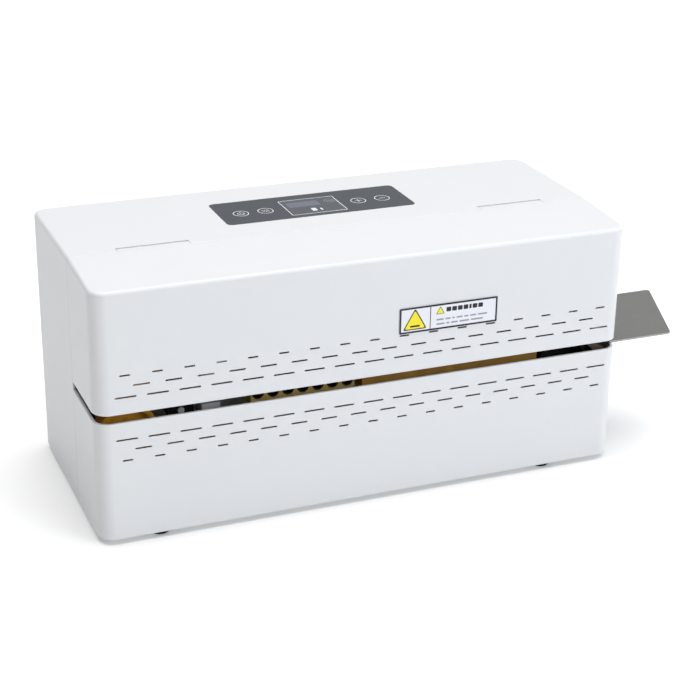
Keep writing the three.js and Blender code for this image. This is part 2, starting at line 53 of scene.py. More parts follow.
MM = 0.001
WIDTH, DEPTH, HEIGHT = 500, 218, 233
CORNER, WALL = 14, 3
TOP_EDGE, INNER_EDGE, RIM_EDGE = 3.5, 1.5, 1.2
SEAM_FRONT, SEAM_BACK = -29.3, -28.8
SLOT_LOW, SLOT_HIGH = 110.3, 118.3
COVER_DROP = 4.5  # how far the covers' top falls from the seam to the front
FRONT, REAR = -DEPTH / 2, DEPTH / 2
HINGE_Y, HINGE_Z, KNUCKLE, PIN, SWING = -23, 230, 3, 1.5, 6.9
TAB_INNER, TAB_OUTER, LUG = 140, 205, 5
GAP = 0.3
VENT_PITCH, VENT_HEIGHT, VENT_CENTRE = 28.13, 1.5, 1.6
VENT_ROWS = ((153.6, 17, 9.3), (143.8, 16, 14.8), (133.7, 17, 19.0),
             (94.5, 17, 19.0), (84.8, 16, 14.8), (75.0, 17, 9.3))
FILM_TOP = HEIGHT + 0.04  # the panel film stands a little proud of the housing
INK = 0.05  # how far a print stands out of what it is printed on
RELIEF_DEPTH = 0.02  # how deep a finish's fine relief is
COAT_ROUGHNESS = 0.12
KEYS = {"power_key": -73.5, "heat_key": -49.7, "plus_key": 42.2, "minus_key": 66.3}
KEY_Y, KEY_RADIUS, KEY_RING = 33, 7.9, 6.7
MARK, MARK_LINE = 3.1, 0.75  # half the width of a key's symbol, and the line it is drawn with

housing_low, housing_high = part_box("rear_housing")
ORIGIN = Vector(((housing_low.x + housing_high.x) / 2, housing_high.y - REAR * MM, housing_low.z))
NODE_BODY = {node: body for body, nodes in frame["record"]["behaviour"]["bodies"].items()
             for node in nodes}


def at(x, y, z):
    """A cabinet point as a point of the part's frame, in metres."""
    return ORIGIN + Vector((x, y, z)) * MM


def extent(node):
    """A CAD node's box, in cabinet millimetres."""
    return [tuple((corner - ORIGIN) / MM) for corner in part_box(node)]


# ---- Finishes -----------------------------------------------------------------------------------

def linear(code):
    """The linear colour of a six-figure sRGB code."""
    parts = [int(code[i:i + 2], 16) / 255 for i in (0, 2, 4)]
    return [p / 12.92 if p <= 0.04045 else ((p + 0.055) / 1.055) ** 2.4 for p in parts] + [1.0]


def finish(name, code, roughness, metallic=0.0, coat=0.0, gloss_level=0.5, shade=0.06,
           scale=90.0, stretch=(1, 1, 1), relief=0.08, wear=0.06):
    """A procedural finish: two close tones, uneven gloss and fine relief, all from one noise."""
    made = bpy.data.materials.new(name)
    made.use_nodes = True
    nodes, links = made.node_tree.nodes, made.node_tree.links
    shader = nodes["Principled BSDF"]
    shader.inputs["Metallic"].default_value = metallic
    shader.inputs["Coat Weight"].default_value = coat
    shader.inputs["Coat Roughness"].default_value = COAT_ROUGHNESS
    shader.inputs["Specular IOR Level"].default_value = gloss_level
    where = nodes.new("ShaderNodeTexCoord")
    spread = nodes.new("ShaderNodeMapping")
    spread.inputs["Scale"].default_value = stretch
    noise = nodes.new("ShaderNodeTexNoise")
    noise.inputs["Scale"].default_value = scale
    noise.inputs["Detail"].default_value = 6.0
    noise.inputs["Roughness"].default_value = 0.6
    tones = nodes.new("ShaderNodeValToRGB")
    colour = linear(code)
    tones.color_ramp.elements[0].position = 0.3
    tones.color_ramp.elements[0].color = [c * (1 - shade) for c in colour[:3]] + [1.0]
    tones.color_ramp.elements[1].position = 0.7
    tones.color_ramp.elements[1].color = colour
    gloss = nodes.new("ShaderNodeMapRange")
    gloss.inputs["To Min"].default_value = max(0.02, roughness - wear)
    gloss.inputs["To Max"].default_value = min(1.0, roughness + wear)
    bump = nodes.new("ShaderNodeBump")
    bump.inputs["Strength"].default_value = relief
    bump.inputs["Distance"].default_value = RELIEF_DEPTH * MM
    links.new(where.outputs["Object"], spread.inputs["Vector"])
    links.new(spread.outputs["Vector"], noise.inputs["Vector"])
    links.new(noise.outputs["Fac"], tones.inputs["Fac"])
    links.new(tones.outputs["Color"], shader.inputs["Base Color"])
    links.new(noise.outputs["Fac"], gloss.inputs["Value"])
    links.new(gloss.outputs["Result"], shader.inputs["Roughness"])
    links.new(noise.outputs["Fac"], bump.inputs["Height"])
    links.new(bump.outputs["Normal"], shader.inputs["Normal"])
    return made


FINISHES = {
    "shell": finish("shell", "d7d8da", 0.36, gloss_level=0.3, shade=0.008, scale=40, relief=0.03),
    "panel_film": finish("panel_film", "41464d", 0.34, shade=0.05, scale=400, relief=0.1),
    "panel_window": finish("panel_window", "4c5057", 0.2, shade=0.04, scale=120, relief=0.02),
    "label_film": finish("label_film", "dedfe6", 0.38, shade=0.01, relief=0.02),
    "black_rubber": finish("black_rubber", "131313", 0.85, gloss_level=0.2, shade=0.3,
                           scale=300, relief=0.3),
    "bright_steel": finish("bright_steel", "b9bbbd", 0.28, 1.0, scale=260, stretch=(1, 6, 1)),
    "brushed_plate": finish("brushed_plate", "9c9c99", 0.42, 1.0, shade=0.16, scale=30,
                            stretch=(3, 34, 6), relief=0.25, wear=0.1),
    "zinc_sheet": finish("zinc_sheet", "d6d9db", 0.45, 0.2, shade=0.12, scale=70, wear=0.1),
    "frame_aluminium": finish("frame_aluminium", "b6babe", 0.40, 0.9, shade=0.06, scale=60,
                              stretch=(30, 2, 2), relief=0.15),
    "motor_paint": finish("motor_paint", "26282b", 0.45, shade=0.15, scale=220, relief=0.2),
    "brass_block": finish("brass_block", "e0bd6a", 0.40, 0.3, shade=0.12, scale=120, wear=0.1),
    "bronze": finish("bronze", "6e5f4c", 0.5, 0.3, shade=0.15, scale=150),
    # A darker copy of the blocks' bronze for the upper blocks: painted shade, so they read dark behind
    # the upper vents.
    "painted_shade_bronze": finish("painted_shade_bronze", "2e2821", 0.5, 0.4, shade=0.2, scale=80),
    "heater_bronze": finish("heater_bronze", "cf9c46", 0.42, 0.3, shade=0.2, scale=80, wear=0.1),
    "ptfe_belt": finish("ptfe_belt", "d2913a", 0.42, coat=0.15, shade=0.16, scale=700,
                        relief=0.25),
    "amber_plastic": finish("amber_plastic", "e2a322", 0.28, coat=0.3, shade=0.08, scale=90),
    "gear_nylon": finish("gear_nylon", "141416", 0.7, gloss_level=0.2, shade=0.12, scale=200),
    "black_plastic": finish("black_plastic", "17181a", 0.42, shade=0.15, scale=260, relief=0.2),
    "circuit_board": finish("circuit_board", "1c5a37", 0.4, coat=0.3, shade=0.15, scale=160),
    "ceramic_board": finish("ceramic_board", "d6d0bf", 0.8, shade=0.08, scale=240, relief=0.3),
    "white_ink": finish("white_ink", "d9dcdf", 0.5, shade=0.01),
    "grey_ink": finish("grey_ink", "8d9298", 0.5, shade=0.01),
    "black_ink": finish("black_ink", "0d0e12", 0.5, shade=0.01),
    "screen_ink": finish("screen_ink", "666b76", 0.3, shade=0.02),
    "yellow_ink": finish("yellow_ink", "ecdc14", 0.45, shade=0.01),
}

# ---- Outlines -----------------------------------------------------------------------------------

PLACED = {"x": lambda a, b, c: (c, a, b), "y": lambda a, b, c: (a, c, b),
          "z": lambda a, b, c: (a, b, c)}


def turns(start, end, steps):
    return [start + (end - start) * i / steps for i in range(steps + 1)]


def arc(centre, radius, start, end, steps=8):
    return [(centre[0] + radius * math.cos(t), centre[1] + radius * math.sin(t))
            for t in turns(start, end, steps)]


def circle(centre, radius, steps=64):
    return arc(centre, radius, 0, 2 * math.pi, steps)[:-1]


def rounded_rectangle(x0, x1, y0, y1, radius, steps=8):
    quarter = math.pi / 2
    corners = ((x1 - radius, y0 + radius), (x1 - radius, y1 - radius),
               (x0 + radius, y1 - radius), (x0 + radius, y0 + radius))
    return [point for i, corner in enumerate(corners)
            for point in arc(corner, radius, (i - 1) * quarter, i * quarter, steps)]


def strip(start, end, width, steps=8):
    """A straight stroke with round ends."""
    a, b = Vector(start), Vector(end)
    lean = math.atan2(b.y - a.y, b.x - a.x)
    return (arc(a, width / 2, lean + math.pi / 2, lean + 1.5 * math.pi, steps)
            + arc(b, width / 2, lean - math.pi / 2, lean + math.pi / 2, steps))


def stroke(line, width):
    """A flat stroke of even width along a line of points."""
    left, right = [], []
    for i, here in enumerate(line):
        before, after = line[max(i - 1, 0)], line[min(i + 1, len(line) - 1)]
        along = (Vector(after) - Vector(before)).normalized()
        side = Vector((-along.y, along.x)) * width / 2
        left.append(tuple(Vector(here) + side))
        right.append(tuple(Vector(here) - side))
    return right + left[::-1]


def soften(points, radius, steps=3, closed=True):
    """Rounds the corners of an outline or of a profile."""
    rounded = []
    for i, here in enumerate(points):
        if not closed and i in (0, len(points) - 1):
            rounded.append(tuple(here))
            continue
        here = Vector(here)
        before, after = Vector(points[i - 1]), Vector(points[(i + 1) % len(points)])
        start = here + (before - here).normalized() * min(radius, 0.45 * (before - here).length)
        end = here + (after - here).normalized() * min(radius, 0.45 * (after - here).length)
        rounded += [tuple(start * (1 - t) ** 2 + here * 2 * t * (1 - t) + end * t ** 2)
                    for t in turns(0, 1, steps)]
    return rounded


def inset(outline, distance):
    """An outline, drawn anticlockwise, moved inwards."""
    moved = []
    for i, here in enumerate(outline):
        into = (Vector(here) - Vector(outline[i - 1])).normalized()
        out = (Vector(outline[(i + 1) % len(outline)]) - Vector(here)).normalized()
        side = Vector((-into.y - out.y, into.x + out.x))
        moved.append(tuple(Vector(here) + side * distance / (1 + into.dot(out))))
    return moved


# ---- Solids -------------------------------------------------------------------------------------

def solid(points, faces):
    mesh = bpy.data.meshes.new("solid")
    mesh.from_pydata([at(*point) for point in points], [], faces)
    work = bmesh.new()
    work.from_mesh(mesh)
    bmesh.ops.recalc_face_normals(work, faces=work.faces)
    work.to_mesh(mesh)
    work.free()
    made = bpy.data.objects.new("solid", mesh)
    bpy.context.scene.collection.objects.link(made)
    return made


def sweep(rings, ring_shaped=False):
    """A solid through rings of points; ring-shaped, or closed by its first and last rings."""
    count = len(rings[0])
    points = [point for ring in rings for point in ring]
    starts = range(len(rings) if ring_shaped else len(rings) - 1)
    faces = []
    for here in starts:
        there = (here + 1) % len(rings)
        faces += [(here * count + i, here * count + (i + 1) % count,
                   there * count + (i + 1) % count, there * count + i) for i in range(count)]
    if not ring_shaped:
        faces += [tuple(range(count)), tuple(range(len(points) - count, len(points)))]
    return solid(points, faces)


def slab(outline, ends, axis="z", edge=0.3, steps=3):
    """An outline raised from one level to another, with rounded edges."""
    low, high = ends
    quarter = turns(0, math.pi / 2, steps)
    profile = [(edge * (1 - math.sin(t)), low + edge * (1 - math.cos(t))) for t in quarter]
    profile += [(edge * (1 - math.cos(t)), high - edge * (1 - math.sin(t))) for t in quarter]
    return sweep([[PLACED[axis](a, b, level) for a, b in inset(outline, into)]
                  for into, level in profile])


def prism(outline, ends, axis="z"):
    return sweep([[PLACED[axis](a, b, level) for a, b in outline] for level in ends])


def block(x, y, z):
    return prism([(x[0], y[0]), (x[1], y[0]), (x[1], y[1]), (x[0], y[1])], z)


def lathe(profile, axis, centre, steps=72, ring_shaped=False):
    """A profile of (radius, level) turned round an axis through the centre."""
    return sweep([[PLACED[axis](a, b, level) for a, b in circle(centre, radius, steps)]
                  for radius, level in profile], ring_shaped)


def bake(thing):
    """Turns a thing's modifiers into its mesh."""
    graph = bpy.context.evaluated_depsgraph_get()
    mesh = bpy.data.meshes.new_from_object(thing.evaluated_get(graph))
    thing.modifiers.clear()
    thing.data = mesh
    return thing


def joined(things):
    """Separate closed solids as one thing."""
    work = bmesh.new()
    for thing in things:
        work.from_mesh(thing.data)
    mesh = bpy.data.meshes.new("joined")
    work.to_mesh(mesh)
    work.free()
    for thing in things[1:]:
        bpy.data.objects.remove(thing)
    things[0].data = mesh
    return things[0]


def boolean(target, operation, tools):
    for tool in tools:
        change = target.modifiers.new("boolean", "BOOLEAN")
        change.operation, change.solver, change.object = operation, "MANIFOLD", tool
        bake(target)
        bpy.data.objects.remove(tool)
    return target


def cut(target, *tools):
    return boolean(target, "DIFFERENCE", tools)


def fuse(target, *tools):
    return boolean(target, "UNION", tools)


def keep(target, tool):
    return boolean(target, "INTERSECT", [tool])


def tidy_faces(thing, angle=0.5):
    """Merges doubled points and flat neighbouring faces."""
    work = bmesh.new()
    work.from_mesh(thing.data)
    bmesh.ops.remove_doubles(work, verts=work.verts, dist=2e-6)
    bmesh.ops.dissolve_limit(work, angle_limit=math.radians(angle), verts=work.verts,
                             edges=work.edges)
    work.to_mesh(thing.data)
    work.free()
    return thing


def bevelled(thing, width=0.3, steps=2, angle=38):
    bevel = tidy_faces(thing).modifiers.new("bevel", "BEVEL")
    bevel.width, bevel.segments = width * MM, steps
    bevel.limit_method, bevel.angle_limit = "ANGLE", math.radians(angle)
    return bake(thing)


def dress(thing, name, slot_name, *nodes, on=None, finish_name=None):
    """Gives a piece its name, finish and shading, and sets it on its body."""
    thing.name = name
    thing.data.name = name
    thing.data.materials.clear()
    thing.data.materials.append(FINISHES[finish_name or slot_name])
    thing.data.shade_smooth()
    thing.data.set_sharp_from_angle(angle=math.radians(32))
    weighted = thing.modifiers.new("weighted", "WEIGHTED_NORMAL")
    weighted.keep_sharp = True
    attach(thing, NODE_BODY[on or nodes[0]])
    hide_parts(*nodes)
    return thing


def refine(node, slot_name, edge=0.3, steps=2, finish_name=None):
    """A CAD node again, with its flat faces merged and its edges softened."""
    mesh = frame["nodes"][node].data.copy()
    if "custom_normal" in mesh.attributes:
        mesh.attributes.remove(mesh.attributes["custom_normal"])
    copy = bpy.data.objects.new("copy", mesh)
    bpy.context.scene.collection.objects.link(copy)
    return dress(bevelled(copy, edge, steps), f"{node}_fine", slot_name, node,
                 finish_name=finish_name)


# ---- Cabinet ------------------------------------------------------------------------------------

def cabinet_shell(fall):
    """The cabinet's wall with a rounded top edge. Its top falls by this much a millimetre forwards."""
    def ring(into, level):
        half_width, half_depth = WIDTH / 2 - into, DEPTH / 2 - into
        outline = rounded_rectangle(-half_width, half_width, -half_depth, half_depth,
                                    CORNER - into, 12)
        return [(x, y, level(y)) for x, y in outline]

    def under_top(drop):
        return lambda y: HEIGHT - drop - fall * (SEAM_FRONT - y)

    def above_floor(rise):
        return lambda y: rise

    def quarter(radius, wall, ahead):
        ends = (0, math.pi / 2) if ahead else (math.pi / 2, 0)
        return [(wall + radius * (1 - math.cos(t)), wall + radius * (1 - math.sin(t)))
                for t in turns(*ends, 8)]

    rings = [ring(into, under_top(drop)) for into, drop in quarter(INNER_EDGE, WALL, False)]
    rim = [(WALL - RIM_EDGE * (1 - math.cos(t)), RIM_EDGE * (1 - math.sin(t)))
           for t in turns(0, math.pi / 2, 4)]
    rim += [(RIM_EDGE * (1 - math.sin(t)), RIM_EDGE * (1 - math.cos(t)))
            for t in turns(0, math.pi / 2, 4)]
    rings += [ring(into, above_floor(rise)) for into, rise in rim]
    rings += [ring(into, under_top(drop)) for into, drop in quarter(TOP_EDGE, 0, True)]
    return sweep(rings)


def vents(rows):
    """Round-ended cutters for slots with a thin lip, opened out behind it."""
    chamfer, lip, relief = 0.08, 0.5, 1.4
    levels = ((FRONT - 1, -chamfer), (FRONT, -chamfer), (FRONT + chamfer, 0), (FRONT + lip, 0),
              (FRONT + lip + relief, -relief), (FRONT + WALL + 1, -relief))
    cutters = []
    for z, count, length in rows:
        for i in range(count):
            x = VENT_CENTRE + (i - (count - 1) / 2) * VENT_PITCH
            reach = (length - VENT_HEIGHT) / 2
            outline = strip((x - reach, z), (x + reach, z), VENT_HEIGHT)
            cutters.append(sweep([[(a, y, b) for a, b in inset(outline, grow)]
                                  for y, grow in levels]))
    return joined(cutters)


def hinge_tab(side, fall):
    """A leaf that carries the cover's top on to a knuckle round the hinge pin."""
    sunk, root = 0.02, 2
    knuckle = arc((HINGE_Y, HINGE_Z), KNUCKLE, -math.pi, math.pi / 2, 18)
    knuckle[-1] = (HINGE_Y, HEIGHT - sunk)
    outline = [(SEAM_FRONT - root, HINGE_Z + 0.5)] + knuckle
    outline += [(SEAM_FRONT, HEIGHT - sunk), (SEAM_FRONT - root, HEIGHT - sunk - root * fall)]
    return slab(outline, sorted((side * TAB_INNER, side * TAB_OUTER)), "x", 0.25)


def build_upper_cover():
    """The hinged cover above the slot, sloping down to the front."""
    wide = (-WIDTH, WIDTH)
    fall = COVER_DROP / (SEAM_FRONT - FRONT)
    cover = keep(cabinet_shell(fall), block(wide, (-DEPTH, SEAM_FRONT), (SLOT_HIGH, 2 * HEIGHT)))
    bevelled(cover, 0.5, 3)
    cut(cover, prism(circle((HINGE_Y, HINGE_Z), SWING), wide, "x"))
    cut(cover, vents([row for row in VENT_ROWS if row[0] > SLOT_HIGH]))
    fuse(cover, hinge_tab(-1, fall), hinge_tab(1, fall))
    cut(cover, prism(circle((HINGE_Y, HINGE_Z), PIN + GAP), wide, "x"))
    dress(cover, "upper_cover_shell", "shell", "upper_front_cover")


def build_lower_cover():
    """The fixed cover below the slot."""
    wide = (-WIDTH, WIDTH)
    cover = keep(cabinet_shell(0), block(wide, (-DEPTH, SEAM_FRONT), (-10, SLOT_LOW)))
    bevelled(cover, 0.5, 3)
    cut(cover, vents([row for row in VENT_ROWS if row[0] < SLOT_LOW]))
    dress(cover, "lower_cover_shell", "shell", "lower_front_cover")


def seam_tongue():
    """The thin tongue behind the seam, at both sides and under the top."""
    outer, thickness, reach, root = WALL + GAP, 1.5, 5, 4
    span = (SEAM_BACK - reach, SEAM_BACK + root)
    tongues = []
    for side in (-1, 1):
        x = sorted((side * (WIDTH / 2 - outer), side * (WIDTH / 2 - outer - thickness)))
        step = sorted((side * (WIDTH / 2 - WALL + 1), side * (WIDTH / 2 - outer - thickness)))
        for heights in ((15, SLOT_LOW - 3), (SLOT_HIGH + 3, HEIGHT - 8)):
            tongues += [block(x, span, heights), block(step, (SEAM_BACK + 1, span[1]), heights)]
    low = HEIGHT - outer - thickness
    tongues.append(block((-TAB_INNER + 6, TAB_INNER - 6), span, (low, low + 0.9)))
    tongues.append(block((-TAB_INNER + 6, TAB_INNER - 6), (SEAM_BACK + 1, span[1]),
                         (low, HEIGHT - WALL + 1)))
    return tongues


def hinge_room(side):
    """The recess that a hinge tab lies and turns in."""
    ends = sorted((side * (TAB_INNER - GAP), side * (TAB_OUTER + GAP)))
    return block(ends, (SEAM_BACK - 20, HINGE_Y + KNUCKLE + 0.6), (HINGE_Z - 6, HEIGHT + 5))


def hinge_lugs():
    """The four lugs that hold the hinge pins."""
    lugs = []
    for side in (-1, 1):
        for near in (TAB_INNER - GAP - LUG, TAB_OUTER + GAP):
            ends = sorted((side * near, side * (near + LUG)))
            lugs.append(block(ends, (SEAM_BACK + 0.5, HINGE_Y + 2 * KNUCKLE),
                              (HINGE_Z - 4, HEIGHT - 1)))
    return lugs


def rear_openings():
    """Cutters for the inlet, the switch, the fuse and the air grille."""
    low, high = extent("power_inlet")
    inlet_x, inlet_z = (low[0] + high[0]) / 2, (low[2] + high[2]) / 2
    low, high = extent("power_switch_frame")
    switch_x, switch_z = (low[0] + high[0]) / 2, (low[2] + high[2]) / 2
    low, high = extent("fuse_holder")
    fuse_x, fuse_z = (low[0] + high[0]) / 2, (low[2] + high[2]) / 2
    through = (REAR - 10, REAR + 5)
    inlet_half, switch_half, fuse_radius = (14, 10.3), (10.8, 14.3), 7.3
    slots, first_slot, pitch, slot_width = 12, -198.75, 8, 2.5
    slot_foot, slot_head = 71.2, 113.8
    grille = []
    for i in range(slots):
        x = first_slot + pitch * i
        grille.append(prism(strip((x, slot_foot), (x, slot_head), slot_width), through, "y"))
    return [block((inlet_x - inlet_half[0], inlet_x + inlet_half[0]), through,
                  (inlet_z - inlet_half[1], inlet_z + inlet_half[1])),
            block((switch_x - switch_half[0], switch_x + switch_half[0]), through,
                  (switch_z - switch_half[1], switch_z + switch_half[1])),
            prism(circle((fuse_x, fuse_z), fuse_radius), through, "y"), joined(grille)]


def panel_openings():
    """Cutters for the panel's pocket, the key stems and the display."""
    through = (HEIGHT - 10, HEIGHT + 5)
    low, high = extent("control_panel_overlay")
    pocket = rounded_rectangle(low[0] - GAP, high[0] + GAP, low[1] - GAP, high[1] + GAP, 5.3)
    holes = [prism(pocket, (HEIGHT - 1, HEIGHT + 5))]
    holes += [prism(circle((x, KEY_Y), KEY_RADIUS + 0.5, 40), through) for x in KEYS.values()]
    low, high = extent("display_window")
    holes.append(block((low[0] + 2, high[0] - 2), (low[1] + 2, high[1] - 2), through))
    return holes


def build_housing():
    """The tall shell behind the seam, with the panel in its top."""
    wide = (-WIDTH, WIDTH)
    housing = keep(cabinet_shell(0), block(wide, (SEAM_BACK, DEPTH), (-10, 2 * HEIGHT)))
    bevelled(housing, 0.9, 4)
    cut(housing, hinge_room(-1), hinge_room(1))
    fuse(housing, *hinge_lugs(), *seam_tongue())
    for side in (-1, 1):
        ends = sorted((side * (TAB_INNER - 8), side * (TAB_OUTER + 8)))
        cut(housing, prism(circle((HINGE_Y, HINGE_Z), PIN + GAP, 32), ends, "x"))
    cut(housing, *panel_openings(), *rear_openings())
    dress(housing, "rear_housing_shell", "shell", "rear_housing")


# ---- Control panel and label --------------------------------------------------------------------

def ink(name, outlines, level, on, finish_name="white_ink", axis="z", slot_name="panel_film"):
    """Printed shapes, a hair's breadth thick, from one level to the next."""
    flat = [prism(outline, level, axis) for outline in outlines]
    return dress(joined(flat), name, slot_name, on=on, finish_name=finish_name)


def ring_shape(centre, radius, width, level):
    return lathe([(radius, level[0]), (radius + width, level[0]),
                  (radius + width, level[1]), (radius, level[1])], "z", centre, 56, True)


def key_marks(name, x):
    """What each key's symbol is drawn with, as outlines round the key's centre."""
    y = KEY_Y
    if name == "power_key":
        bow = arc((x, y - 0.3), MARK, math.radians(125), math.radians(415), 28)
        return [stroke(bow, MARK_LINE), strip((x, y + 0.4), (x, y + 3.9), MARK_LINE)]
    if name == "heat_key":
        wave = [(0.55 * math.sin(t * math.pi / 4), -3 + 0.75 * t) for t in range(9)]
        return [stroke([(x + dx + a, y + b) for a, b in wave], 0.6) for dx in (-2.4, 0, 2.4)]
    return [strip((x - MARK, y), (x + MARK, y), MARK_LINE)]


def build_panel():
    """The panel's film, pane and keys, and what is printed on them."""
    low, high = extent("control_panel_overlay")
    film = slab(rounded_rectangle(low[0], high[0], low[1], high[1], 4.7), (low[2], FILM_TOP),
                edge=0.12)
    window_low, window_high = extent("display_window")
    room = rounded_rectangle(window_low[0] - 0.1, window_high[0] + 0.1, window_low[1] - 0.1,
                             window_high[1] + 0.1, 2)
    cut(film, prism(room, (low[2] - 1, HEIGHT + 1)),
        *[prism(circle((x, KEY_Y), KEY_RADIUS + 0.12), (low[2] - 1, HEIGHT + 1))
          for x in KEYS.values()])
    dress(film, "panel_film_sheet", "panel_film", "control_panel_overlay")
    pane = rounded_rectangle(window_low[0], window_high[0], window_low[1], window_high[1], 1.9)
    dress(slab(pane, (low[2], FILM_TOP), edge=0.05), "display_pane", "panel_window",
          "display_window")

    printed = (FILM_TOP - 0.02, FILM_TOP + INK)
    margin, line = 0.3, 0.8
    x0, x1 = window_low[0] + margin, window_high[0] - margin
    y0, y1 = window_low[1] + margin, window_high[1] - margin
    border = prism(rounded_rectangle(x0, x1, y0, y1, 1.2), printed)
    cut(border, prism(rounded_rectangle(x0 + line, x1 - line, y0 + line, y1 - line, 0.8),
                      (HEIGHT - 2, HEIGHT + 2)))
    dress(border, "display_border", "panel_film", on="display_window", finish_name="white_ink")
    screen = rounded_rectangle(-26, 5, 33, 47, 1)
    ink("display_screen", [screen], (FILM_TOP - 0.02, FILM_TOP + 0.02), "display_window",
        "screen_ink")
    digits = [rounded_rectangle(-8.2, -3.4, 18.6, 26.4, 1.4),
              rounded_rectangle(0.2, 2.2, 18.8, 24.6, 0.9)]
    ink("display_digits", digits, printed, "display_window")
    badge_centre, badge_radius, bar_pitch, bar_half = (16.4, 41.9), 4.6, 2.2, 1.9
    badge = ring_shape(badge_centre, badge_radius, 0.55, printed)
    dress(badge, "display_badge_ring", "panel_film", on="display_window", finish_name="grey_ink")
    bars = []
    for i in (-1, 0, 1):
        x = badge_centre[0] + bar_pitch * i
        bars.append(strip((x, badge_centre[1] - bar_half), (x, badge_centre[1] + bar_half), 0.7))
    ink("display_badge_bars", bars, printed, "display_window", "grey_ink")

    for name, x in KEYS.items():
        base = extent(name)[0][2]
        cap = slab(circle((x, KEY_Y), KEY_RADIUS), (FILM_TOP - 2.6, FILM_TOP), edge=0.08)
        stem = slab(circle((x, KEY_Y), 2.5, 32), (base, FILM_TOP - 2.1), edge=0.2)
        dress(fuse(cap, stem), f"{name}_cap", "panel_film", name)
        short = name.replace("_key", "")
        ring = ring_shape((x, KEY_Y), KEY_RING, 0.8, printed)
        dress(ring, f"{short}_ring", "panel_film", on=name, finish_name="white_ink")
        ink(f"{short}_mark", key_marks(name, x), printed, name)
    x = KEYS["plus_key"]
    upright = strip((x, KEY_Y - MARK), (x, KEY_Y + MARK), MARK_LINE)
    ink("plus_upright", [upright], printed, "plus_key")


def triangle(centre, reach, radius):
    """An upright triangle with round corners."""
    points = [(centre[0] + reach * math.cos(t), centre[1] + reach * math.sin(t))
              for t in (math.radians(90), math.radians(210), math.radians(330))]
    return soften(points, radius, 6)


def row(x, foot, height, space, radius, lengths):
    """Outlines of a row of blocks of these lengths, from the left."""
    blocks = []
    for length in lengths:
        blocks.append(rounded_rectangle(x, x + length, foot, foot + height, radius, 3))
        x += length + space
    return blocks


def build_label():
    """A plain label: a triangle, blocks for a heading and two rows of dashes."""
    low, high = extent("front_label")
    x0, x1, z0, z1 = low[0], high[0], low[2], high[2]
    face = low[1] + 0.1  # the sheet's front; the print stands on it
    sheet = slab(rounded_rectangle(x0, x1, z0, z1, 1), (face, high[1]), "y", 0.1)
    dress(sheet, "label_sheet", "label_film", "front_label")
    print_at = (face - INK, face + 0.02)
    rule = 1.7
    frame_ring = prism(rounded_rectangle(x0, x1, z0, z1, 1), print_at, "y")
    cut(frame_ring, prism(rounded_rectangle(x0 + rule, x1 - rule, z0 + rule, z1 - rule, 0.4),
                          (FRONT - 5, FRONT + 5), "y"))
    split = x0 + 29.7  # where the line between the label's two fields stands
    fuse(frame_ring, block((split - 0.4, split + 0.4), print_at, (z0 + 0.5, z1 - 0.5)))
    dress(frame_ring, "label_border", "label_film", on="front_label", finish_name="black_ink")

    def printed(name, outlines, finish_name, rise=0.0):
        level = (print_at[0] - rise, print_at[1])
        ink(name, outlines, level, "front_label", finish_name, "y", "label_film")

    middle = ((x0 + split) / 2, z0 + 9.6)
    bar_half, bar_drop = 4, 3.4
    printed("label_triangle_edge", [triangle(middle, 13.4, 2.4)], "black_ink")
    printed("label_triangle", [triangle(middle, 11.4, 2.0)], "yellow_ink", 0.02)
    bar = strip((middle[0] - bar_half, middle[1] - bar_drop),
                (middle[0] + bar_half, middle[1] - bar_drop), 1.7)
    printed("label_triangle_bar", [bar], "black_ink", 0.04)
    small = (split + 9.6, z1 - 7.2)
    printed("label_small_triangle_edge", [triangle(small, 4.9, 0.9)], "black_ink")
    printed("label_small_triangle", [triangle(small, 3.9, 0.7)], "yellow_ink", 0.02)

    heading = row(split + 15.4, z1 - 8.2, 4.2, 1.0, 0.7, (4.6, 4.6, 4.6, 4.6, 2.2, 4.6, 4.6))
    printed("label_heading", heading, "black_ink")
    line_1 = row(split + 6, z0 + 8.6, 1.5, 1.7, 0.5, (7, 5, 2.5, 6, 4, 6, 9))
    printed("label_line_1", line_1, "grey_ink")
    line_2 = row(split + 6, z0 + 4.4, 1.5, 1.7, 0.5, (8, 3, 6.5, 9.5, 12))
    printed("label_line_2", line_2, "grey_ink")


# ---- Feet, plate and mechanism ------------------------------------------------------------------

def centre_of(node):
    low, high = extent(node)
    return [(a + b) / 2 for a, b in zip(low, high)]


def build_feet():
    """Rubber feet, hollow at the foot round a sunk screw head."""
    for end in ("front", "rear"):
        for side in ("left", "right"):
            node = f"foot_{end}_{side}"
            low, high = extent(node)
            x, y = centre_of(node)[:2]
            ground, top = low[2], high[2]
            hollow, head_face, head_back, slot_end = (ground + rise for rise in (1.6, 0.7, 1.7, 1.2))
            profile = [(2, hollow), (3.4, hollow), (3.8, ground), (8.6, ground), (9.8, top), (2, top)]
            pad = lathe(soften(profile, 0.6, 4, closed=False), "z", (x, y))
            dress(pad, f"{node}_pad", "black_rubber", node)
            profile = [(0.4, head_face), (2.6, head_face), (3.0, head_back), (0.4, head_back)]
            head = lathe(soften(profile, 0.3, 3, closed=False), "z", (x, y), 32)
            cut(head, block((x - 1.9, x + 1.9), (y - 0.35, y + 0.35), (ground, slot_end)))
            dress(head, f"{node}_screw", "bright_steel", on=node)


def build_support_plate():
    """The bare sheet on the right, with round corners where it stands out."""
    low, high = extent("support_plate")
    left, front, back = low[0], low[1], high[1]
    side, corner, rounded_off, slant = WIDTH / 2, 5, 1.35, 40
    inner_front, inner_back = -56, -31  # the part of the plate that lies inside the cabinet
    right = high[0] + rounded_off
    outline = [(side - WALL, front), (right - slant, front), (right, back), (side + 0.6, back),
               (side + 0.6, inner_back), (left, inner_back), (left, inner_front),
               (side - WALL, inner_front)]
    edge = [outline[0]] + soften(outline[:4], corner, 6, closed=False)[1:-1] + outline[3:]
    plate = slab(edge, (low[2], high[2]), edge=0.3)
    dress(plate, "support_plate_sheet", "brushed_plate", "support_plate")


